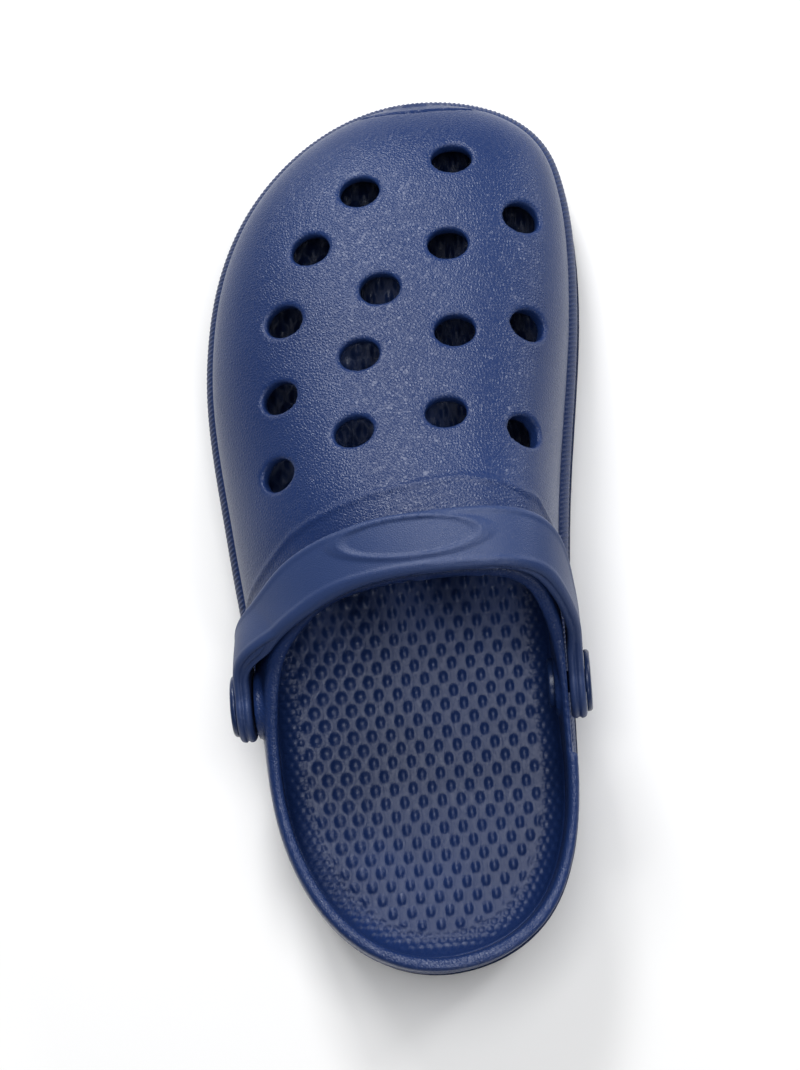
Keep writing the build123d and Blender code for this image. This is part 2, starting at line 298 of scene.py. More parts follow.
def net_mesh(field, low, high, step):
    """Smooth quad mesh of the face where a field is zero: one point in each cell that it crosses."""
    axes = [np.arange(low[i], high[i] + step, step) for i in range(3)]
    values = field(axes[0][:, None, None], axes[1][None, :, None], axes[2][None, None, :])
    inside = values < 0
    shape = np.array(inside.shape) - 1
    count = np.zeros(shape, np.int8)
    for dx in (0, 1):
        for dy in (0, 1):
            for dz in (0, 1):
                count += inside[dx:shape[0] + dx, dy:shape[1] + dy, dz:shape[2] + dz]
    active = (count > 0) & (count < 8)
    cells = np.argwhere(active)
    index = np.full(shape, -1, np.int64)
    index[active] = np.arange(len(cells))
    total = np.zeros((len(cells), 3))
    hits = np.zeros(len(cells))
    corners = [(dx, dy, dz) for dx in (0, 1) for dy in (0, 1) for dz in (0, 1)]
    for a in corners:
        for axis in range(3):
            if a[axis]:
                continue
            b = tuple(a[i] + (i == axis) for i in range(3))
            va = values[cells[:, 0] + a[0], cells[:, 1] + a[1], cells[:, 2] + a[2]]
            vb = values[cells[:, 0] + b[0], cells[:, 1] + b[1], cells[:, 2] + b[2]]
            crossed = (va < 0) != (vb < 0)
            share = np.where(crossed, va / np.where(crossed, va - vb, 1), 0)
            place = np.array(a, float)[None, :] + share[:, None] * np.eye(3)[axis][None, :]
            total += np.where(crossed[:, None], place, 0)
            hits += crossed
    points = (cells + total / hits[:, None]) * step + np.array([axis[0] for axis in axes])
    faces = []
    for axis in range(3):
        u, v = (axis + 1) % 3, (axis + 2) % 3
        core = [slice(1, shape[i]) for i in range(3)]
        core[axis] = slice(0, shape[axis])
        ahead = list(core)
        ahead[axis] = slice(1, shape[axis] + 1)
        here, there = inside[tuple(core)], inside[tuple(ahead)]
        for flip in (False, True):
            found = np.argwhere((~here & there) if flip else (here & ~there))
            if not len(found):
                continue
            base = found + np.array([0 if i == axis else 1 for i in range(3)])
            quad = []
            for du, dv in ((-1, -1), (0, -1), (0, 0), (-1, 0)):
                cell = base.copy()
                cell[:, u] += du
                cell[:, v] += dv
                quad.append(index[cell[:, 0], cell[:, 1], cell[:, 2]])
            quad = np.stack(quad, axis=1)
            faces.append(quad[:, ::-1] if flip else quad)
    faces = np.concatenate(faces)
    for _ in range(3):
        points = settle(points, field)
    return points, faces


def field_slope(points, field, probe=0.2):
    slope = np.zeros_like(points)
    for axis in range(3):
        ahead, behind = points.copy(), points.copy()
        ahead[:, axis] += probe
        behind[:, axis] -= probe
        slope[:, axis] = (field(*ahead.T) - field(*behind.T)) / (2 * probe)
    return slope


def settle(points, field, most=0.6):
    """Moves points onto the face where the field is zero."""
    slope = field_slope(points, field)
    size = np.maximum((slope**2).sum(axis=1), 1e-3)
    move = -(field(*points.T) / size)[:, None] * slope
    length = np.linalg.norm(move, axis=1, keepdims=True)
    return points + move * np.minimum(1, most / np.maximum(length, 1e-9))


# ---------------------------------------------------------------- materials
def group_tree(name, inputs, outputs):
    tree = bpy.data.node_groups.new(name, "ShaderNodeTree")
    for label, kind, value in inputs:
        socket = tree.interface.new_socket(label, in_out="INPUT", socket_type=kind)
        if value is not None:
            socket.default_value = value
    for label, kind in outputs:
        tree.interface.new_socket(label, in_out="OUTPUT", socket_type=kind)
    return tree, tree.nodes.new("NodeGroupInput"), tree.nodes.new("NodeGroupOutput")


def math_node(tree, operation, a, b=None, clamp=False):
    node = tree.nodes.new("ShaderNodeMath")
    node.operation = operation
    node.use_clamp = clamp
    for socket, value in zip(node.inputs, (a, b)):
        if value is None:
            continue
        if isinstance(value, (int, float)):
            socket.default_value = value
        else:
            tree.links.new(value, socket)
    return node.outputs[0]


def ramp(tree, value, low, high, to_low=0.0, to_high=1.0):
    node = tree.nodes.new("ShaderNodeMapRange")
    node.inputs["From Min"].default_value = low
    node.inputs["From Max"].default_value = high
    node.inputs["To Min"].default_value = to_low
    node.inputs["To Max"].default_value = to_high
    tree.links.new(value, node.inputs["Value"])
    return node.outputs[0]


def foam_grain_group():
    """Fine leather-like mould grain: pebbles with creases between them."""
    tree, start, end = group_tree(
        "Foam Grain",
        [("Pebble Size", "NodeSocketFloat", 0.001), ("Softness", "NodeSocketFloat", 0.5),
         ("Disorder", "NodeSocketFloat", 1.0)],
        [("Height", "NodeSocketFloat"), ("Pores", "NodeSocketFloat")])
    place = tree.nodes.new("ShaderNodeTexCoord")
    scale = math_node(tree, "DIVIDE", 1.0, start.outputs["Pebble Size"])
    pebbles = tree.nodes.new("ShaderNodeTexVoronoi")
    pebbles.feature = "DISTANCE_TO_EDGE"
    tree.links.new(place.outputs["Object"], pebbles.inputs["Vector"])
    tree.links.new(scale, pebbles.inputs["Scale"])
    tree.links.new(start.outputs["Disorder"], pebbles.inputs["Randomness"])
    creases = ramp(tree, pebbles.outputs["Distance"], 0.0, 0.32)
    broad = tree.nodes.new("ShaderNodeTexNoise")
    broad.inputs["Detail"].default_value = 3.0
    tree.links.new(place.outputs["Object"], broad.inputs["Vector"])
    tree.links.new(math_node(tree, "MULTIPLY", scale, 0.6), broad.inputs["Scale"])
    swell = math_node(tree, "MULTIPLY", broad.outputs["Fac"], start.outputs["Softness"])
    tree.links.new(math_node(tree, "ADD", creases, swell), end.inputs["Height"])
    pores = tree.nodes.new("ShaderNodeTexNoise")
    pores.inputs["Detail"].default_value = 1.0
    tree.links.new(place.outputs["Object"], pores.inputs["Vector"])
    tree.links.new(math_node(tree, "MULTIPLY", scale, 2.2), pores.inputs["Scale"])
    tree.links.new(ramp(tree, pores.outputs["Fac"], 0.56, 0.72), end.inputs["Pores"])
    return tree


def colour_drift_group():
    """Slow change of colour over a moulding, with scuffs that are paler."""
    tree, start, end = group_tree(
        "Colour Drift",
        [("Colour", "NodeSocketColor", (0.04, 0.08, 0.2, 1)),
         ("Deep", "NodeSocketColor", (0.03, 0.06, 0.16, 1)),
         ("Patch Size", "NodeSocketFloat", 0.05), ("Scuff", "NodeSocketFloat", 0.3)],
        [("Colour", "NodeSocketColor"), ("Scuffs", "NodeSocketFloat")])
    place = tree.nodes.new("ShaderNodeTexCoord")
    noise = tree.nodes.new("ShaderNodeTexNoise")
    noise.inputs["Detail"].default_value = 4.0
    tree.links.new(place.outputs["Object"], noise.inputs["Vector"])
    tree.links.new(math_node(tree, "DIVIDE", 1.0, start.outputs["Patch Size"]), noise.inputs["Scale"])
    mix = tree.nodes.new("ShaderNodeMix")
    mix.data_type = "RGBA"
    tree.links.new(ramp(tree, noise.outputs["Fac"], 0.35, 0.68), mix.inputs["Factor"])
    tree.links.new(start.outputs["Deep"], mix.inputs["A"])
    tree.links.new(start.outputs["Colour"], mix.inputs["B"])
    fine = tree.nodes.new("ShaderNodeTexNoise")
    fine.inputs["Scale"].default_value = 190.0
    fine.inputs["Detail"].default_value = 6.0
    fine.inputs["Roughness"].default_value = 0.7
    tree.links.new(place.outputs["Object"], fine.inputs["Vector"])
    scuffs = math_node(tree, "MULTIPLY", ramp(tree, fine.outputs["Fac"], 0.62, 0.8), start.outputs["Scuff"])
    pale = tree.nodes.new("ShaderNodeMix")
    pale.data_type = "RGBA"
    tree.links.new(scuffs, pale.inputs["Factor"])
    tree.links.new(mix.outputs["Result"], pale.inputs["A"])
    pale.inputs["B"].default_value = (0.19, 0.24, 0.38, 1)
    tree.links.new(pale.outputs["Result"], end.inputs["Colour"])
    tree.links.new(scuffs, end.inputs["Scuffs"])
    return tree


def edge_wear_group():
    """Mask of worn, lighter edges from how sharply the surface turns."""
    tree, start, end = group_tree(
        "Edge Wear",
        [("Amount", "NodeSocketFloat", 0.5)],
        [("Wear", "NodeSocketFloat")])
    geometry = tree.nodes.new("ShaderNodeNewGeometry")
    edge = ramp(tree, geometry.outputs["Pointiness"], 0.52, 0.62)
    tree.links.new(math_node(tree, "MULTIPLY", edge, start.outputs["Amount"], clamp=True), end.inputs["Wear"])
    return tree


GROUPS = {}
FOAM_SPECULAR = 0.45
PORE_ROUGHNESS = 0.08
SCUFF_ROUGHNESS = 0.3


def placed_group(tree, name, **values):
    node = tree.nodes.new("ShaderNodeGroup")
    node.node_tree = GROUPS[name]
    for label, value in values.items():
        node.inputs[label.replace("_", " ")].default_value = value
    return node


def foam_material(name, colour, deep, roughness, pebble, depth, *, scuff, wear, patch=0.05, disorder=1.0):
    """Moulded foam: drifting colour, mould grain, paler worn edges and scuffs."""
    material = bpy.data.materials.new(name)
    material.use_nodes = True
    tree = material.node_tree
    shader = tree.nodes["Principled BSDF"]
    drift = placed_group(tree, "Colour Drift", Colour=(*colour, 1), Deep=(*deep, 1), Patch_Size=patch,
                         Scuff=scuff)
    grain = placed_group(tree, "Foam Grain", Pebble_Size=pebble, Disorder=disorder)
    worn = placed_group(tree, "Edge Wear", Amount=wear)
    mix = tree.nodes.new("ShaderNodeMix")
    mix.data_type = "RGBA"
    tree.links.new(worn.outputs["Wear"], mix.inputs["Factor"])
    tree.links.new(drift.outputs["Colour"], mix.inputs["A"])
    mix.inputs["B"].default_value = tuple(min(1, c * 1.9 + 0.01) for c in colour) + (1,)
    tree.links.new(mix.outputs["Result"], shader.inputs["Base Color"])
    rough = math_node(tree, "ADD", math_node(tree, "MULTIPLY", grain.outputs["Pores"],
                                             PORE_ROUGHNESS), roughness)
    scuffed = math_node(tree, "MULTIPLY", drift.outputs["Scuffs"], SCUFF_ROUGHNESS)
    rough = math_node(tree, "ADD", rough, scuffed, clamp=True)
    tree.links.new(rough, shader.inputs["Roughness"])
    bump = tree.nodes.new("ShaderNodeBump")
    bump.inputs["Distance"].default_value = depth
    bump.inputs["Strength"].default_value = 1.0
    tree.links.new(grain.outputs["Height"], bump.inputs["Height"])
    tree.links.new(bump.outputs["Normal"], shader.inputs["Normal"])
    shader.inputs["Specular IOR Level"].default_value = FOAM_SPECULAR
    return material


# ---------------------------------------------------------------- pieces: shell
def vent_frames():
    """Centre, across, along and outward directions of each vent on the vamp."""
    frames = []
    form = lambda x, y, z: distance_to(lambda a, b, c: upper_form(a, b, c, 0.0), x, y, z)
    for across, along in VENTS:
        low, high = WELT_HEIGHT, 100.0
        for _ in range(20):
            middle = (low + high) / 2
            inside = upper_form(np.array([across]), np.array([along]), np.array([middle]), 0.0)[0] < 0
            low, high = (middle, high) if inside else (low, middle)
        place = np.array([[across, along, low]])
        out = field_slope(place, form, 1.5)[0]
        out /= np.linalg.norm(out)
        side = np.array([1.0, 0, 0]) - out * out[0]
        side /= np.linalg.norm(side)
        frames.append((place[0], side, np.cross(out, side), out))
    return frames


def mouth_outline():
    """Side view of everything that the mouth's line cuts away."""
    return SideOutline(np.vstack([smooth_line(TOP_LINE), [(-175, 61), (-175, 129), (-22, 129)]]))


def upper_field(props):
    """The shell's upper: walls between outer and inner form, mouth, vents, strap seats."""
    frames = vent_frames()
    mouth = mouth_outline()
    half_across, half_along = props.vent_across / 2, props.vent_along / 2

    def field(x, y, z):
        outer = distance_to(lambda a, b, c: upper_form(a, b, c, 0.0), x, y, z)
        outer = outer + 2.0 * ease((30.8 - z) / 1.4)
        inner = distance_to(lambda a, b, c: upper_form(a, b, c, -WALL), x, y, z)
        walls = smooth_max(outer, -inner, 0.8)
        mouth_y, mouth_z = np.broadcast_arrays(y, z)
        cut = mouth(mouth_y, mouth_z)
        parting = 0.4 * bump_at(walls, -WALL / 2, 0.9)
        walls = smooth_max(walls, parting - cut, 2.6)
        radius = np.hypot(y - PIVOT[0], z - PIVOT[1])
        for seat, side in SEATS.values():
            recess = np.maximum(radius - RECESS_RADIUS, (side * seat - 0.5) - side * x)
            boss = np.maximum(radius - BOSS_RADIUS, np.abs(side * x - (side * seat - 2.6)) - 2.2)
            walls = smooth_max(smooth_min(walls, boss, 1.0), -recess, 0.8)
        for place, across, along, out in frames:
            dx, dy, dz = x - place[0], y - place[1], z - place[2]
            u = dx * across[0] + dy * across[1] + dz * across[2]
            v = dx * along[0] + dy * along[1] + dz * along[2]
            w = dx * out[0] + dy * out[1] + dz * out[2]
            ring = np.sqrt((u / half_across) ** 2 + (v / half_along) ** 2)
            hole = np.maximum((ring - 1) * half_along, np.abs(w) - VENT_REACH)
            walls = smooth_max(walls, -hole, props.vent_round)
        return smooth_max(walls, props.upper_base - z, 0.6)

    return field


def band_place(points):
    """How far points lie ahead of the front edge of the strap's seat band, in plan."""
    line = np.array(BAND_EDGE)
    return points[:, 1] - np.interp(points[:, 0], line[:, 0], line[:, 1])


def plan_ring(count, inset=0.0):
    """Points and outward directions round the sole's plan, evenly spaced along it."""
    angle = np.linspace(0, 2 * np.pi, 4001)[:-1]
    reach = HALF_LENGTH - inset
    along = reach * np.sin(angle)
    side = np.where(np.cos(angle) < 0, -1, 1)
    across = centre_line(along) + side * half_width(along, side > 0, inset)
    points = np.stack([across, along], axis=1)
    spans = np.linalg.norm(np.diff(points, axis=0, append=points[:1]), axis=1)
    length = np.concatenate([[0], np.cumsum(spans)])
    places = np.linspace(0, length[-1], count, endpoint=False)
    closed = np.vstack([points, points[:1]])
    ring = np.stack([np.interp(places, length, closed[:, i]) for i in range(2)], axis=1)
    run = np.roll(ring, -1, axis=0) - np.roll(ring, 1, axis=0)
    run /= np.linalg.norm(run, axis=1, keepdims=True)
    return ring, np.stack([run[:, 1], -run[:, 0]], axis=1), places, length[-1]


def swept_faces(rings, steps):
    """Quads between rows of points: each row is a closed ring."""
    row, step = np.meshgrid(np.arange(rings), np.arange(steps - 1), indexing="ij")
    row_next = (row + 1) % rings
    quads = np.stack([row * steps + step, row_next * steps + step,
                      row_next * steps + step + 1, row * steps + step + 1], axis=-1)
    return quads.reshape(-1, 4)


def ring_mesh(name, profile, count):
    """Closed band swept round the sole: profile(station) gives insets and heights at each place."""
    ring, outward, places, around = plan_ring(count)
    inset, height = profile(ring[:, 1], places, around)
    steps = inset.shape[1]
    x = ring[:, 0:1] - outward[:, 0:1] * inset
    y = ring[:, 1:2] - outward[:, 1:2] * inset
    points = np.stack([x, y, height], axis=-1).reshape(-1, 3)
    faces = swept_faces(count, steps)
    last, first = np.arange(count) * steps + steps - 1, np.arange(count) * steps
    faces = np.vstack([faces, np.stack([last, np.roll(last, -1), np.roll(first, -1), first], axis=1)])
    return make_mesh(name, points, faces)


def bump_at(value, centre, reach):
    """Smooth hump of height 1 at a centre, nothing beyond its reach."""
    share = np.clip(np.abs(value - centre) / reach, 0, 1)
    return (1 - share**2) ** 2


def midsole_profile(props):
    """Insets and heights of the midsole band: side, hatched welt, groove, inner side."""
    def profile(station, places, around):
        shelf = ledge(station)
        ground = station_value(GROUND_STATIONS, station)
        low = ground + OUTSOLE_THICKNESS
        side_low = np.linspace(0, 1, 7)[None, :] * (SIDE_TOP - low - 1.2)[:, None] + (low + 0.6)[:, None]
        side_in = np.full_like(side_low, SIDE_INSET)
        side_in[:, 0] += 0.5
        strip = np.linspace(0, 1, 15)
        turn = strip * np.pi / 2
        strip_in = 0.35 + (1 - np.cos(turn))[None, :] * (shelf - 0.3)[:, None]
        strip_up = STRIP_START + np.sin(turn)[None, :] * STRIP_RISE + 0 * strip_in
        teeth = np.round(around / props.hatch_pitch)
        phase = 2 * np.pi * teeth * (places / around)[:, None] + strip[None, :] * props.hatch_slant
        ridge = 0.5 + 0.5 * np.cos(phase)
        fade = bump_at(strip, 0.5, 0.62)[None, :]
        strip_in = strip_in + props.hatch_depth * ridge * fade * np.cos(turn)[None, :]
        strip_up = strip_up - props.hatch_depth * ridge * fade * np.sin(turn)[None, :]
        groove_in = shelf[:, None] + np.array([0.15, 0.4, 0.9, 3.5, 6.0])[None, :]
        groove_up = np.array([30.6, 29.4, 28.9, 28.9, 28.4])[None, :] + 0 * groove_in
        inner_up = np.array([24.0, 21.0])[None, :] + 0 * shelf[:, None]
        inner_in = np.full_like(inner_up, 9.0)
        base_in = np.array([6.0, 3.4])[None, :] + 0 * shelf[:, None]
        base_up = low[:, None] + np.array([0.4, 0.2])[None, :]
        inner_up = np.maximum(inner_up, base_up[:, :1] + 0.5)
        return (np.hstack([side_in, strip_in, groove_in, inner_in, base_in]),
                np.hstack([side_low, strip_up, groove_up, inner_up, base_up]))
    return profile


def footbed_mesh(name, props):
    """Insole: nubs in staggered rows, honeycomb border and a soft turn up to the wall."""
    xs = np.arange(-62.0, 62.0, props.footbed_step)
    ys = np.concatenate([np.arange(-143.0, -8.0, props.footbed_step * 0.92), np.arange(-8.0, 141.0, 1.15)])
    x, y = np.meshgrid(xs, ys, indexing="ij")
    level = np.full_like(x, WELT_HEIGHT - 1.0)
    wall = distance_to(lambda a, b, c: upper_form(a, b, c, -WALL), x, y, level)
    depth = -wall
    base = station_value(FOOTBED_STATIONS, y)
    turn = props.wall_turn
    reach = np.clip(turn - np.clip(depth, 0.25, turn), 0, turn)
    rise = turn - np.sqrt(np.maximum(turn**2 - reach**2, 0))
    height = base + rise * 0.9
    across, along = props.nub_across, props.nub_along
    row = np.round(y / along)
    shift = np.where(row.astype(int) % 2 == 0, 0.0, across / 2)
    column = np.round((x - shift) / across)
    du = x - shift - column * across
    dv = y - row * along
    outer_side = ease((-14 - (x - centre_line(y))) / 14)
    wide_reach = NUB_WIDE_REACH + 0.5 * outer_side
    shape = np.sqrt((du / wide_reach) ** 2 + (dv / NUB_LONG_REACH) ** 2)
    nub = (1 - np.clip(shape, 0, 1) ** 2) ** 1.2 * props.nub_height
    dimple = bump_at(shape, 1.3, 0.3) * 0.14
    inside = ease((depth - NUB_MARGIN) / 1.4)
    height = height + (nub - dimple) * inside
    size = props.cell_size
    hex_row = y / (size * HEX_ROW)
    best = np.full_like(x, 1e9)
    second = np.full_like(x, 1e9)
    for step in (-1, 0, 1):
        near_row = np.round(hex_row) + step
        offset = np.where(near_row.astype(int) % 2 == 0, 0.0, size / 2)
        near_column = np.round((x - offset) / size)
        for sideways in (-1, 0, 1):
            gap = np.hypot(x - offset - (near_column + sideways) * size, y - near_row * size * HEX_ROW)
            second = np.minimum(second, np.maximum(best, gap))
            best = np.minimum(best, gap)
    edge = (second - best) / 2
    cells = ease((edge - 0.12) / 0.5)
    border = ease((depth - BORDER_START) / 0.8) * (1 - ease((depth - BORDER_END) / 1.0))
    height = height - props.cell_depth * cells * border
    keep = upper_form(x, y, level, FOOTBED_TUCK - WALL) < 0
    quads_in = keep[:-1, :-1] & keep[1:, :-1] & keep[1:, 1:] & keep[:-1, 1:]
    used = np.zeros(keep.shape, bool)
    for dx in (0, 1):
        for dy in (0, 1):
            used[dx:keep.shape[0] - 1 + dx, dy:keep.shape[1] - 1 + dy] |= quads_in
    index = np.full(keep.shape, -1)
    index[used] = np.arange(used.sum())
    top = np.stack([x[used], y[used], height[used]], axis=1)
    i, j = np.nonzero(quads_in)
    faces = np.stack([index[i, j], index[i + 1, j], index[i + 1, j + 1], index[i, j + 1]], axis=1)
    obj = make_mesh(name, top, faces)
    work = bmesh.new()
    work.from_mesh(obj.data)
    rim = [edge for edge in work.edges if edge.is_boundary]
    made = bmesh.ops.extrude_edge_only(work, edges=rim)["geom"]
    for vert in (part for part in made if isinstance(part, bmesh.types.BMVert)):
        ground = station_value(GROUND_STATIONS, np.array([vert.co.y / MM]))[0]
        vert.co.z = (ground + OUTSOLE_THICKNESS + 1.0) * MM
    bmesh.ops.holes_fill(work, edges=[edge for edge in work.edges if edge.is_boundary], sides=0)
    bmesh.ops.recalc_face_normals(work, faces=work.faces)
    work.to_mesh(obj.data)
    work.free()
    obj.data.shade_smooth()
    return obj


# ---------------------------------------------------------------- pieces: strap
def strap_field(props):
    """The strap: a band over the vamp, flat round ears at the hinge, rounded edges."""
    low, high = math.radians(-75), math.radians(100)
    end_low = (PIVOT[0] + STRAP_END_RADIUS * math.cos(low), PIVOT[1] + STRAP_END_RADIUS * math.sin(low))
    end_high = (PIVOT[0] + STRAP_END_RADIUS * math.cos(high), PIVOT[1] + STRAP_END_RADIUS * math.sin(high))
    front = smooth_line(STRAP_FRONT_EDGE + [end_low])
    turn = np.linspace(low, high - 2 * math.pi, 40)[1:-1]
    end_y = PIVOT[0] + STRAP_END_RADIUS * np.cos(turn)
    end_z = PIVOT[1] + STRAP_END_RADIUS * np.sin(turn)
    end = np.stack([end_y, end_z], axis=1)
    rear = smooth_line([end_high] + STRAP_REAR_EDGE)
    outline = SideOutline(np.vstack([front, end, rear]), low=(-85.0, 25.0), high=(20.0, 118.0), step=0.3)

    def field(x, y, z):
        outer = distance_to(lambda a, b, c: upper_form(a, b, c, STRAP_GROW, STRAP_CROWN), x, y, z)
        inner = distance_to(lambda a, b, c: upper_form(a, b, c, STRAP_BACK_GROW, STRAP_BACK_CROWN), x, y, z)
        side_y, side_z = np.broadcast_arrays(y, z)
        edge = outline(side_y, side_z)
        outer = outer - props.bead_height * bump_at(edge, -BEAD_INSET, BEAD_REACH)
        radius = np.hypot(y - PIVOT[0], z - PIVOT[1])
        seat = np.where(x < 0, SEATS["outer"][0] * SEATS["outer"][1], SEATS["inner"][0] * SEATS["inner"][1])
        reach = np.abs(x) - seat
        face_share = ease((FACE_BLEND_END - radius) / FACE_BLEND_RUN)
        back_share = ease((BACK_BLEND_END - radius) / BACK_BLEND_RUN)
        face = outer * (1 - face_share) + (reach - STRAP_THICKNESS) * face_share
        back = -inner * (1 - back_share) - reach * back_share
        slab = np.maximum(face, back)
        groove = props.seam_depth * bump_at(slab, -STRAP_THICKNESS / 2, 0.8)
        band = smooth_max(slab, edge + groove, props.edge_round)
        hole = HINGE_HOLE_RADIUS - radius
        return smooth_max(band, hole, 0.4)

    return field


def badge_lift(points, props):
    """How far the blank oval badge stands up at points of the strap's top."""
    centre = np.array([props.badge_across, props.badge_along])
    turn = math.radians(props.badge_angle)
    axis = np.array([math.cos(turn), math.sin(turn)])
    place = points[:, :2] - centre
    u = place @ axis
    v = place @ np.array([-axis[1], axis[0]])
    ring = np.sqrt((u / (props.badge_length / 2)) ** 2 + (v / (props.badge_width / 2)) ** 2)
    outline = bump_at(ring, 1.0, 0.2)
    return props.badge_height * (outline + 0.35 * (ring < 1)) * (points[:, 2] > 80)


# ---------------------------------------------------------------- settings
def length(name, description, millimetres):
    return bpy.props.FloatProperty(name=name, description=description, default=millimetres * MM,
                                   unit="LENGTH")


def colour(name, description, value):
    return bpy.props.FloatVectorProperty(name=name, description=description, default=value, size=3,
                                         min=0.0, max=1.0, subtype="COLOR")


class ClogShellSettings(bpy.types.PropertyGroup):
    """Sizes of the shell, its vents, welt and footbed."""
    vent_across: length("Vent Across", "Width of a vent hole", 13.2)
    vent_along: length("Vent Along", "Length of a vent hole", 10.8)
    vent_round: length("Vent Rounding", "Rounding of a vent's rim", 1.2)
    upper_base: length("Upper Base", "Height where the upper's wall ends inside the sole", 19.5)
    upper_detail: length("Upper Detail", "Mesh size of the upper", 1.15)
    hatch_pitch: length("Hatch Pitch", "Distance between ridges of the welt", 1.6)
    hatch_depth: length("Hatch Depth", "Depth of the welt's ridges", 0.5)
    hatch_slant: bpy.props.FloatProperty(name="Hatch Slant", description="Lean of the welt's ridges",
                                         default=6.0, subtype="ANGLE")
    footbed_step: length("Footbed Detail", "Mesh size of the footbed", 0.55)
    wall_turn: length("Wall Turn", "Radius of the turn from footbed to wall", 9.0)
    nub_across: length("Nub Spacing Across", "Distance between nubs in a row", 6.2)
    nub_along: length("Nub Spacing Along", "Distance between rows of nubs", 4.5)
    nub_height: length("Nub Height", "Height of a massage nub", 0.75)
    cell_size: length("Cell Size", "Size of a honeycomb cell", 2.9)
    cell_depth: length("Cell Depth", "Depth of a honeycomb cell", 0.5)


class ClogStrapSettings(bpy.types.PropertyGroup):
    """Sizes of the heel strap and its blank badge."""
    strap_detail: length("Strap Detail", "Mesh size of the strap", 0.55)
    edge_round: length("Edge Rounding", "Rounding of the strap's edges", 1.8)
    bead_height: length("Bead Height", "Height of the bead along the edges", 0.3)
    seam_depth: length("Seam Depth", "Depth of the groove round the strap's edge", 0.6)
    rivet_radius: length("Rivet Radius", "Radius of a rivet's button", 10.0)
    rivet_height: length("Rivet Height", "How far a rivet's button stands off the strap", 1.9)
    badge_across: length("Badge Across", "Place of the badge across the strap", 4.7)
    badge_along: length("Badge Along", "Place of the badge along the clog", -12.0)
    badge_length: length("Badge Length", "Length of the blank oval badge", 47.0)
    badge_width: length("Badge Width", "Width of the blank oval badge", 13.0)
    badge_height: length("Badge Height", "How far the badge's ridge stands up", 0.65)
    badge_angle: bpy.props.FloatProperty(name="Badge Angle", description="Turn of the badge on the strap",
                                         default=math.radians(15), subtype="ANGLE")


class ClogFinishSettings(bpy.types.PropertyGroup):
    """Colours and grain of the foam."""
    shell_colour: colour("Shell", "Colour of the upper", (0.017, 0.040, 0.130))
    shell_deep: colour("Shell Deep", "Darker colour that drifts over the upper", (0.014, 0.033, 0.112))
    # painted shade: the inside wall gets a darker colour than the shell to stand in for the shade inside the
    # cavity
    shaded_lining_colour: colour("Lining", "Colour of the wall inside", (0.006, 0.014, 0.052))
    footbed_colour: colour("Footbed", "Colour of the footbed", (0.014, 0.036, 0.125))
    strap_colour: colour("Strap", "Colour of the strap", (0.032, 0.058, 0.155))
    rivet_colour: colour("Rivet", "Colour of the rivets", (0.015, 0.033, 0.10))
    grain_size: length("Grain Size", "Size of the pebbles in the mould grain", 1.0)


def in_mm(props):
    """The settings with every length in millimetres."""
    values = {}
    for key, rna in props.bl_rna.properties.items():
        if key in ("rna_type", "name"):
            continue
        value = getattr(props, key)
        values[key] = value / MM if getattr(rna, "unit", "") == "LENGTH" else value
    return SimpleNamespace(**values)


def set_materials(obj, *materials):
    obj.data.materials.clear()
    for material in materials:
        obj.data.materials.append(material)


def darker(value, share):
    return tuple(part * share for part in value)


def shell_materials(finish):
    grained = foam_material("Grained Foam", finish.shell_colour, finish.shell_deep, 0.35,
                            finish.grain_size * MM, 0.00008, scuff=0.02, wear=0.12, patch=0.07)
    # the lining material's darker colour is painted shade for the inside wall
    shaded_lining = foam_material("Smooth Lining Painted Shade", finish.shaded_lining_colour, darker(finish.shaded_lining_colour, 0.8), 0.42,
                           0.0006, 0.00004, scuff=0.04, wear=0.12)
    # the mouth's rim is a darker copy of the shell colour: painted shade
    rim = foam_material("Rim Foam Painted Shade", darker(finish.shell_colour, 0.62), darker(finish.shell_deep, 0.62), 0.38,
                        0.0006, 0.00003, scuff=0.05, wear=0.15)
    band = foam_material("Strap Seat Foam", finish.shell_colour, finish.shell_deep, 0.42, 0.0019, 0.0005,
                         scuff=0.02, wear=0.1, disorder=0.25)
    return grained, shaded_lining, rim, band


# ---------------------------------------------------------------- operators
class CLOG_OT_build_upper(bpy.types.Operator):
    """Build the shell's vented upper with its rounded mouth"""
    bl_idname = "clog.build_upper"
    bl_label = "Build Upper"

    def execute(self, context):
        props = in_mm(context.scene.clog_shell)
        finish = in_mm(context.scene.clog_finish)
        step = props.upper_detail * 1.0
        field = upper_field(props)
        points, faces = net_mesh(field, (-66.0, -149.0, 17.0), (66.0, 149.0, 97.0), step)
        ahead, side_out = band_place(points), distance_to(lambda a, b, c: upper_form(a, b, c, 0.0), *points.T)
        ridge = 0.65 * bump_at(ahead, 0.0, 1.5) * (side_out > -0.8) * (points[:, 2] > 40.0)
        slope = field_slope(points, field)
        slope /= np.maximum(np.linalg.norm(slope, axis=1, keepdims=True), 1e-6)
        points = points + slope * ridge[:, None]
        obj = make_mesh("upper", points, faces)
        centres = points[faces].mean(axis=1)
        outer = distance_to(lambda a, b, c: upper_form(a, b, c, 0.0), *centres.T)
        from_mouth = mouth_outline()(centres[:, 1], centres[:, 2])
        # faces inside the shell (kind 1) take the lining material, whose darker colour is painted shade
        kind = np.where(outer > -1.0, 0, 1)
        # faces on the mouth's rim (kind 2) take the darker rim material: painted shade
        kind = np.where((from_mouth < 1.3) & (outer < -0.4), 2, kind)
        band = band_place(centres)
        kind = np.where((kind == 0) & (band < -0.6) & (band > -BAND_DEPTH) & (centres[:, 2] > 40.0), 3, kind)
        obj.data.polygons.foreach_set("material_index", kind.astype(np.int32))
        set_materials(obj, *shell_materials(finish))
        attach(obj, SHELL_BODY)
        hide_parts("clog_shell")
        return {"FINISHED"}


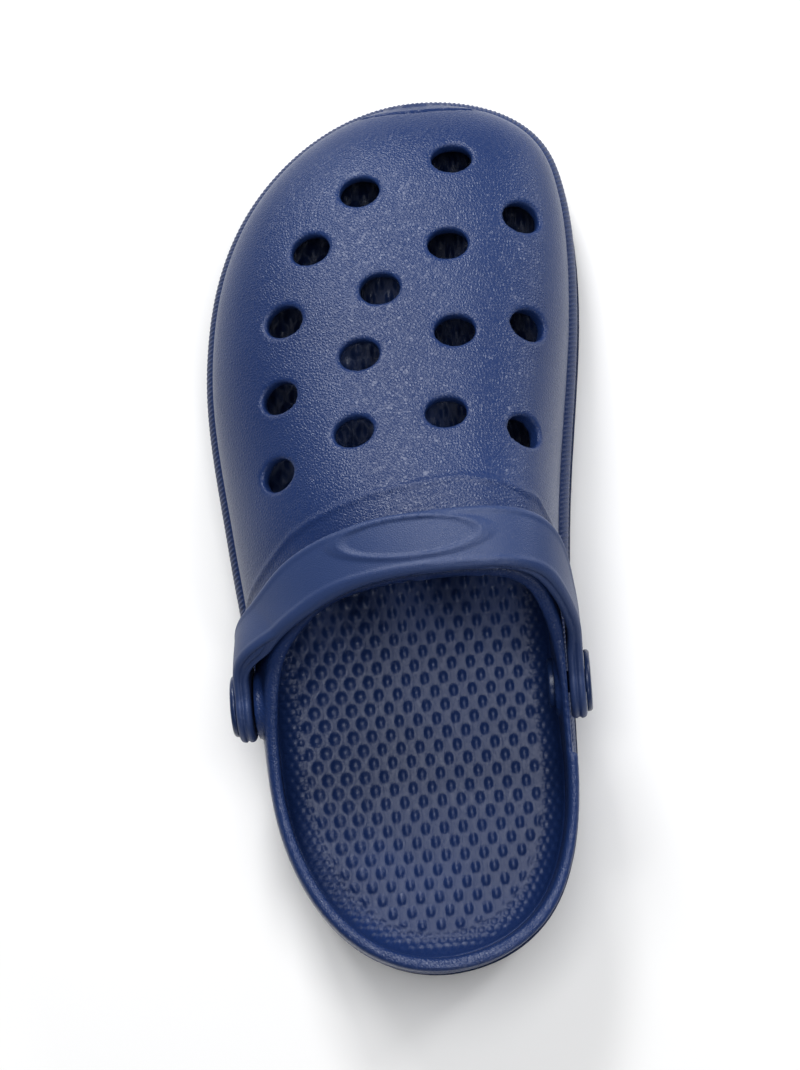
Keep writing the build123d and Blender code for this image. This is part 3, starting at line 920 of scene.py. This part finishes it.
class CLOG_OT_build_midsole(bpy.types.Operator):
    """Build the midsole band with its hatched welt"""
    bl_idname = "clog.build_midsole"
    bl_label = "Build Midsole"

    def execute(self, context):
        props = in_mm(context.scene.clog_shell)
        finish = in_mm(context.scene.clog_finish)
        count = 2700
        obj = ring_mesh("midsole", midsole_profile(props), count)
        set_materials(obj, foam_material("Welt Foam", darker(finish.shell_colour, 0.95),
                                         finish.shell_deep, 0.42, 0.0008, 0.00005, scuff=0.1, wear=0.2))
        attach(obj, SHELL_BODY)
        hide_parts("clog_shell")
        return {"FINISHED"}


class CLOG_OT_build_footbed(bpy.types.Operator):
    """Build the footbed with massage nubs and a honeycomb border"""
    bl_idname = "clog.build_footbed"
    bl_label = "Build Footbed"

    def execute(self, context):
        props = in_mm(context.scene.clog_shell)
        finish = in_mm(context.scene.clog_finish)
        obj = footbed_mesh("footbed", props)
        set_materials(obj, foam_material("Footbed Foam", finish.footbed_colour,
                                         darker(finish.footbed_colour, 0.8),
                                         0.34, 0.0005, 0.00003, scuff=0.05, wear=0.15))
        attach(obj, SHELL_BODY)
        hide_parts("clog_shell")
        return {"FINISHED"}


class CLOG_OT_build_strap(bpy.types.Operator):
    """Build the heel strap with its blank badge"""
    bl_idname = "clog.build_strap"
    bl_label = "Build Strap"

    def execute(self, context):
        props = in_mm(context.scene.clog_strap)
        finish = in_mm(context.scene.clog_finish)
        step = props.strap_detail * 1.0
        field = strap_field(props)
        points, faces = net_mesh(field, (-59.0, -70.5, 33.0), (59.0, 6.0, 101.0), step)
        outer = distance_to(lambda a, b, c: upper_form(a, b, c, STRAP_GROW, STRAP_CROWN), *points.T)
        lift = badge_lift(points, props) * (outer > -1.0)
        normal = field_slope(points, field)
        normal /= np.maximum(np.linalg.norm(normal, axis=1, keepdims=True), 1e-6)
        points = points + normal * lift[:, None]
        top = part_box("heel_strap")[1][2] / MM
        points[:, 2] = np.minimum(points[:, 2], top)
        obj = make_mesh("strap", points, faces)
        set_materials(obj, foam_material("Strap Foam", finish.strap_colour, darker(finish.strap_colour, 0.88),
                                         0.44, 0.0007, 0.00004, scuff=0.08, wear=0.12))
        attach(obj, STRAP_BODY)
        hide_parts("heel_strap")
        return {"FINISHED"}


def rivet_mesh(name, seat, side, props):
    """Domed button with its post, turned about the hinge line."""
    head = STRAP_THICKNESS + 0.12
    top = head + props.rivet_height
    turn = np.linspace(0, np.pi / 2, 7)
    radius, round_over = props.rivet_radius, 1.1
    rows = [(share * (radius - round_over), top - 0.12 * share**2) for share in np.linspace(0.15, 0.95, 6)]
    rows += [(radius - round_over + round_over * math.sin(a), top - 0.12 - round_over * (1 - math.cos(a)))
             for a in turn]
    rows += [(radius, head + 0.1), (radius - 0.15, head),
             (POST_RADIUS + 0.3, head), (POST_RADIUS, head - 0.3),
             (POST_RADIUS, -POST_DEPTH + 0.4), (POST_RADIUS - 0.4, -POST_DEPTH)]
    count = 96
    angle = np.linspace(0, 2 * np.pi, count, endpoint=False)
    rows = np.array(rows)
    reach, out = rows[:, 0][None, :], rows[:, 1][None, :]
    x = seat + side * (out + 0 * angle[:, None])
    y = PIVOT[0] + reach * np.cos(angle)[:, None]
    z = PIVOT[1] + reach * np.sin(angle)[:, None]
    points = np.stack([x, y, z], axis=-1)
    obj = make_mesh(name, points.reshape(-1, 3), swept_faces(count, len(rows)))
    work = bmesh.new()
    work.from_mesh(obj.data)
    bmesh.ops.holes_fill(work, edges=[edge for edge in work.edges if edge.is_boundary], sides=0)
    bmesh.ops.recalc_face_normals(work, faces=work.faces)
    work.to_mesh(obj.data)
    work.free()
    obj.data.shade_smooth()
    return obj


class CLOG_OT_finish_hardware(bpy.types.Operator):
    """Give the outsole and the rivets their finishes"""
    bl_idname = "clog.finish_hardware"
    bl_label = "Finish Hardware"

    def execute(self, context):
        finish = in_mm(context.scene.clog_finish)
        rubber = foam_material("Outsole Rubber", darker(finish.shell_colour, 0.7),
                               darker(finish.shell_deep, 0.6),
                               0.34, 0.0006, 0.00005, scuff=0.1, wear=0.2)
        plastic = foam_material("Rivet Plastic", finish.rivet_colour, darker(finish.rivet_colour, 0.85),
                                0.27, 0.0004, 0.000012, scuff=0.05, wear=0.15)
        set_materials(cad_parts["outsole"], rubber)
        for end, (seat, side) in SEATS.items():
            cap = rivet_mesh(f"{end}_rivet", seat, side, in_mm(context.scene.clog_strap))
            set_materials(cap, plastic)
            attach(cap, SHELL_BODY)
            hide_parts(f"{end}_rivet_cap")
            set_materials(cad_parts[f"{end}_rivet_socket"], plastic)
        return {"FINISHED"}


def area_light(name, place, aim, size, power):
    data = bpy.data.lights.new(name, "AREA")
    data.shape = "RECTANGLE"
    data.size, data.size_y = size
    data.energy = power
    lamp = bpy.data.objects.new(name, data)
    lamp.location = place
    lamp.rotation_euler = (Vector(aim) - Vector(place)).to_track_quat("-Z", "Y").to_euler()
    bpy.context.scene.collection.objects.link(lamp)
    return lamp


class CLOG_OT_build_stage(bpy.types.Operator):
    """Set out the pale floor, the soft lights and the camera"""
    bl_idname = "clog.build_stage"
    bl_label = "Build Stage"

    def execute(self, context):
        scene = context.scene
        scene.view_settings.view_transform = "Standard"
        scene.view_settings.look = "Medium High Contrast"
        corners = [(-3000, -3000, -0.3), (3000, -3000, -0.3), (3000, 3000, -0.3), (-3000, 3000, -0.3)]
        floor = make_mesh("floor", corners, [(0, 1, 2, 3)], smooth=False)
        paper = bpy.data.materials.new("Pale Floor")
        paper.use_nodes = True
        shader = paper.node_tree.nodes["Principled BSDF"]
        shader.inputs["Base Color"].default_value = (0.9, 0.9, 0.9, 1)
        shader.inputs["Roughness"].default_value = 0.8
        floor.data.materials.append(paper)
        world = bpy.data.worlds.new("Soft Room")
        world.use_nodes = True
        world.node_tree.nodes["Background"].inputs["Color"].default_value = (0.95, 0.97, 1.0, 1)
        world.node_tree.nodes["Background"].inputs["Strength"].default_value = 0.09
        scene.world = world
        area_light("Toe Softbox", (-0.17, 0.90, 0.95), (0.0, 0.04, 0.07), (0.28, 0.28), 6.5)
        area_light("Left Softbox", (-0.56, 1.01, 0.63), (0.0, 0.08, 0.06), (0.25, 0.3), 4.0)
        area_light("Right Softbox", (0.97, 0.63, 0.50), (0.0, 0.06, 0.06), (0.25, 0.3), 4.0)
        area_light("Top Softbox", (0.1, 0.1, 1.6), (0.0, 0.0, 0.0), (0.85, 0.85), 12.5)
        area_light("Heel Softbox", (0.25, -0.85, 0.9), (0.0, -0.08, 0.03), (0.2, 0.2), 2.0)
        camera = bpy.data.cameras.new("Camera")
        camera.lens = 135.8
        camera.sensor_fit = "HORIZONTAL"
        camera.sensor_width = 36.0
        place = Vector((52.8, -146.1, 1020.3)) * MM
        look = (Vector((-1.0, -3.0, 40.0)) * MM - place).normalized()
        right = Vector((0.9969, -0.0785, 0.0))
        right = (right - look * right.dot(look)).normalized()
        up = right.cross(look)
        holder = bpy.data.objects.new("Camera", camera)
        turn = Matrix((right, up, -look)).transposed().to_4x4()
        holder.matrix_world = Matrix.Translation(place) @ turn
        scene.collection.objects.link(holder)
        scene.camera = holder
        return {"FINISHED"}


class CLOG_PT_panel(bpy.types.Panel):
    """Lists the clog's settings and pieces"""
    bl_label = "Garden Clog"
    bl_idname = "CLOG_PT_panel"
    bl_space_type = "VIEW_3D"
    bl_region_type = "UI"
    bl_category = "Clog"

    def draw(self, context):
        for operator in OPERATORS:
            self.layout.operator(operator.bl_idname)
        for group in (context.scene.clog_shell, context.scene.clog_strap, context.scene.clog_finish):
            box = self.layout.box()
            for key in group.__annotations__:
                box.prop(group, key)


SETTINGS = {
    "clog_shell": ClogShellSettings,
    "clog_strap": ClogStrapSettings,
    "clog_finish": ClogFinishSettings,
}
OPERATORS = (CLOG_OT_build_upper, CLOG_OT_build_midsole, CLOG_OT_build_footbed, CLOG_OT_build_strap,
             CLOG_OT_finish_hardware, CLOG_OT_build_stage)
CLASSES = (*SETTINGS.values(), *OPERATORS, CLOG_PT_panel)


def register():
    for cls in CLASSES:
        bpy.utils.register_class(cls)
    for name, group in SETTINGS.items():
        setattr(bpy.types.Scene, name, bpy.props.PointerProperty(type=group))


def unregister():
    for name in SETTINGS:
        delattr(bpy.types.Scene, name)
    for cls in reversed(CLASSES):
        bpy.utils.unregister_class(cls)


def main():
    register()
    GROUPS["Foam Grain"] = foam_grain_group()
    GROUPS["Colour Drift"] = colour_drift_group()
    GROUPS["Edge Wear"] = edge_wear_group()
    bpy.ops.clog.build_upper()
    bpy.ops.clog.build_midsole()
    bpy.ops.clog.build_footbed()
    bpy.ops.clog.build_strap()
    bpy.ops.clog.finish_hardware()
    bpy.ops.clog.build_stage()


if __name__ == "__main__":
    main()
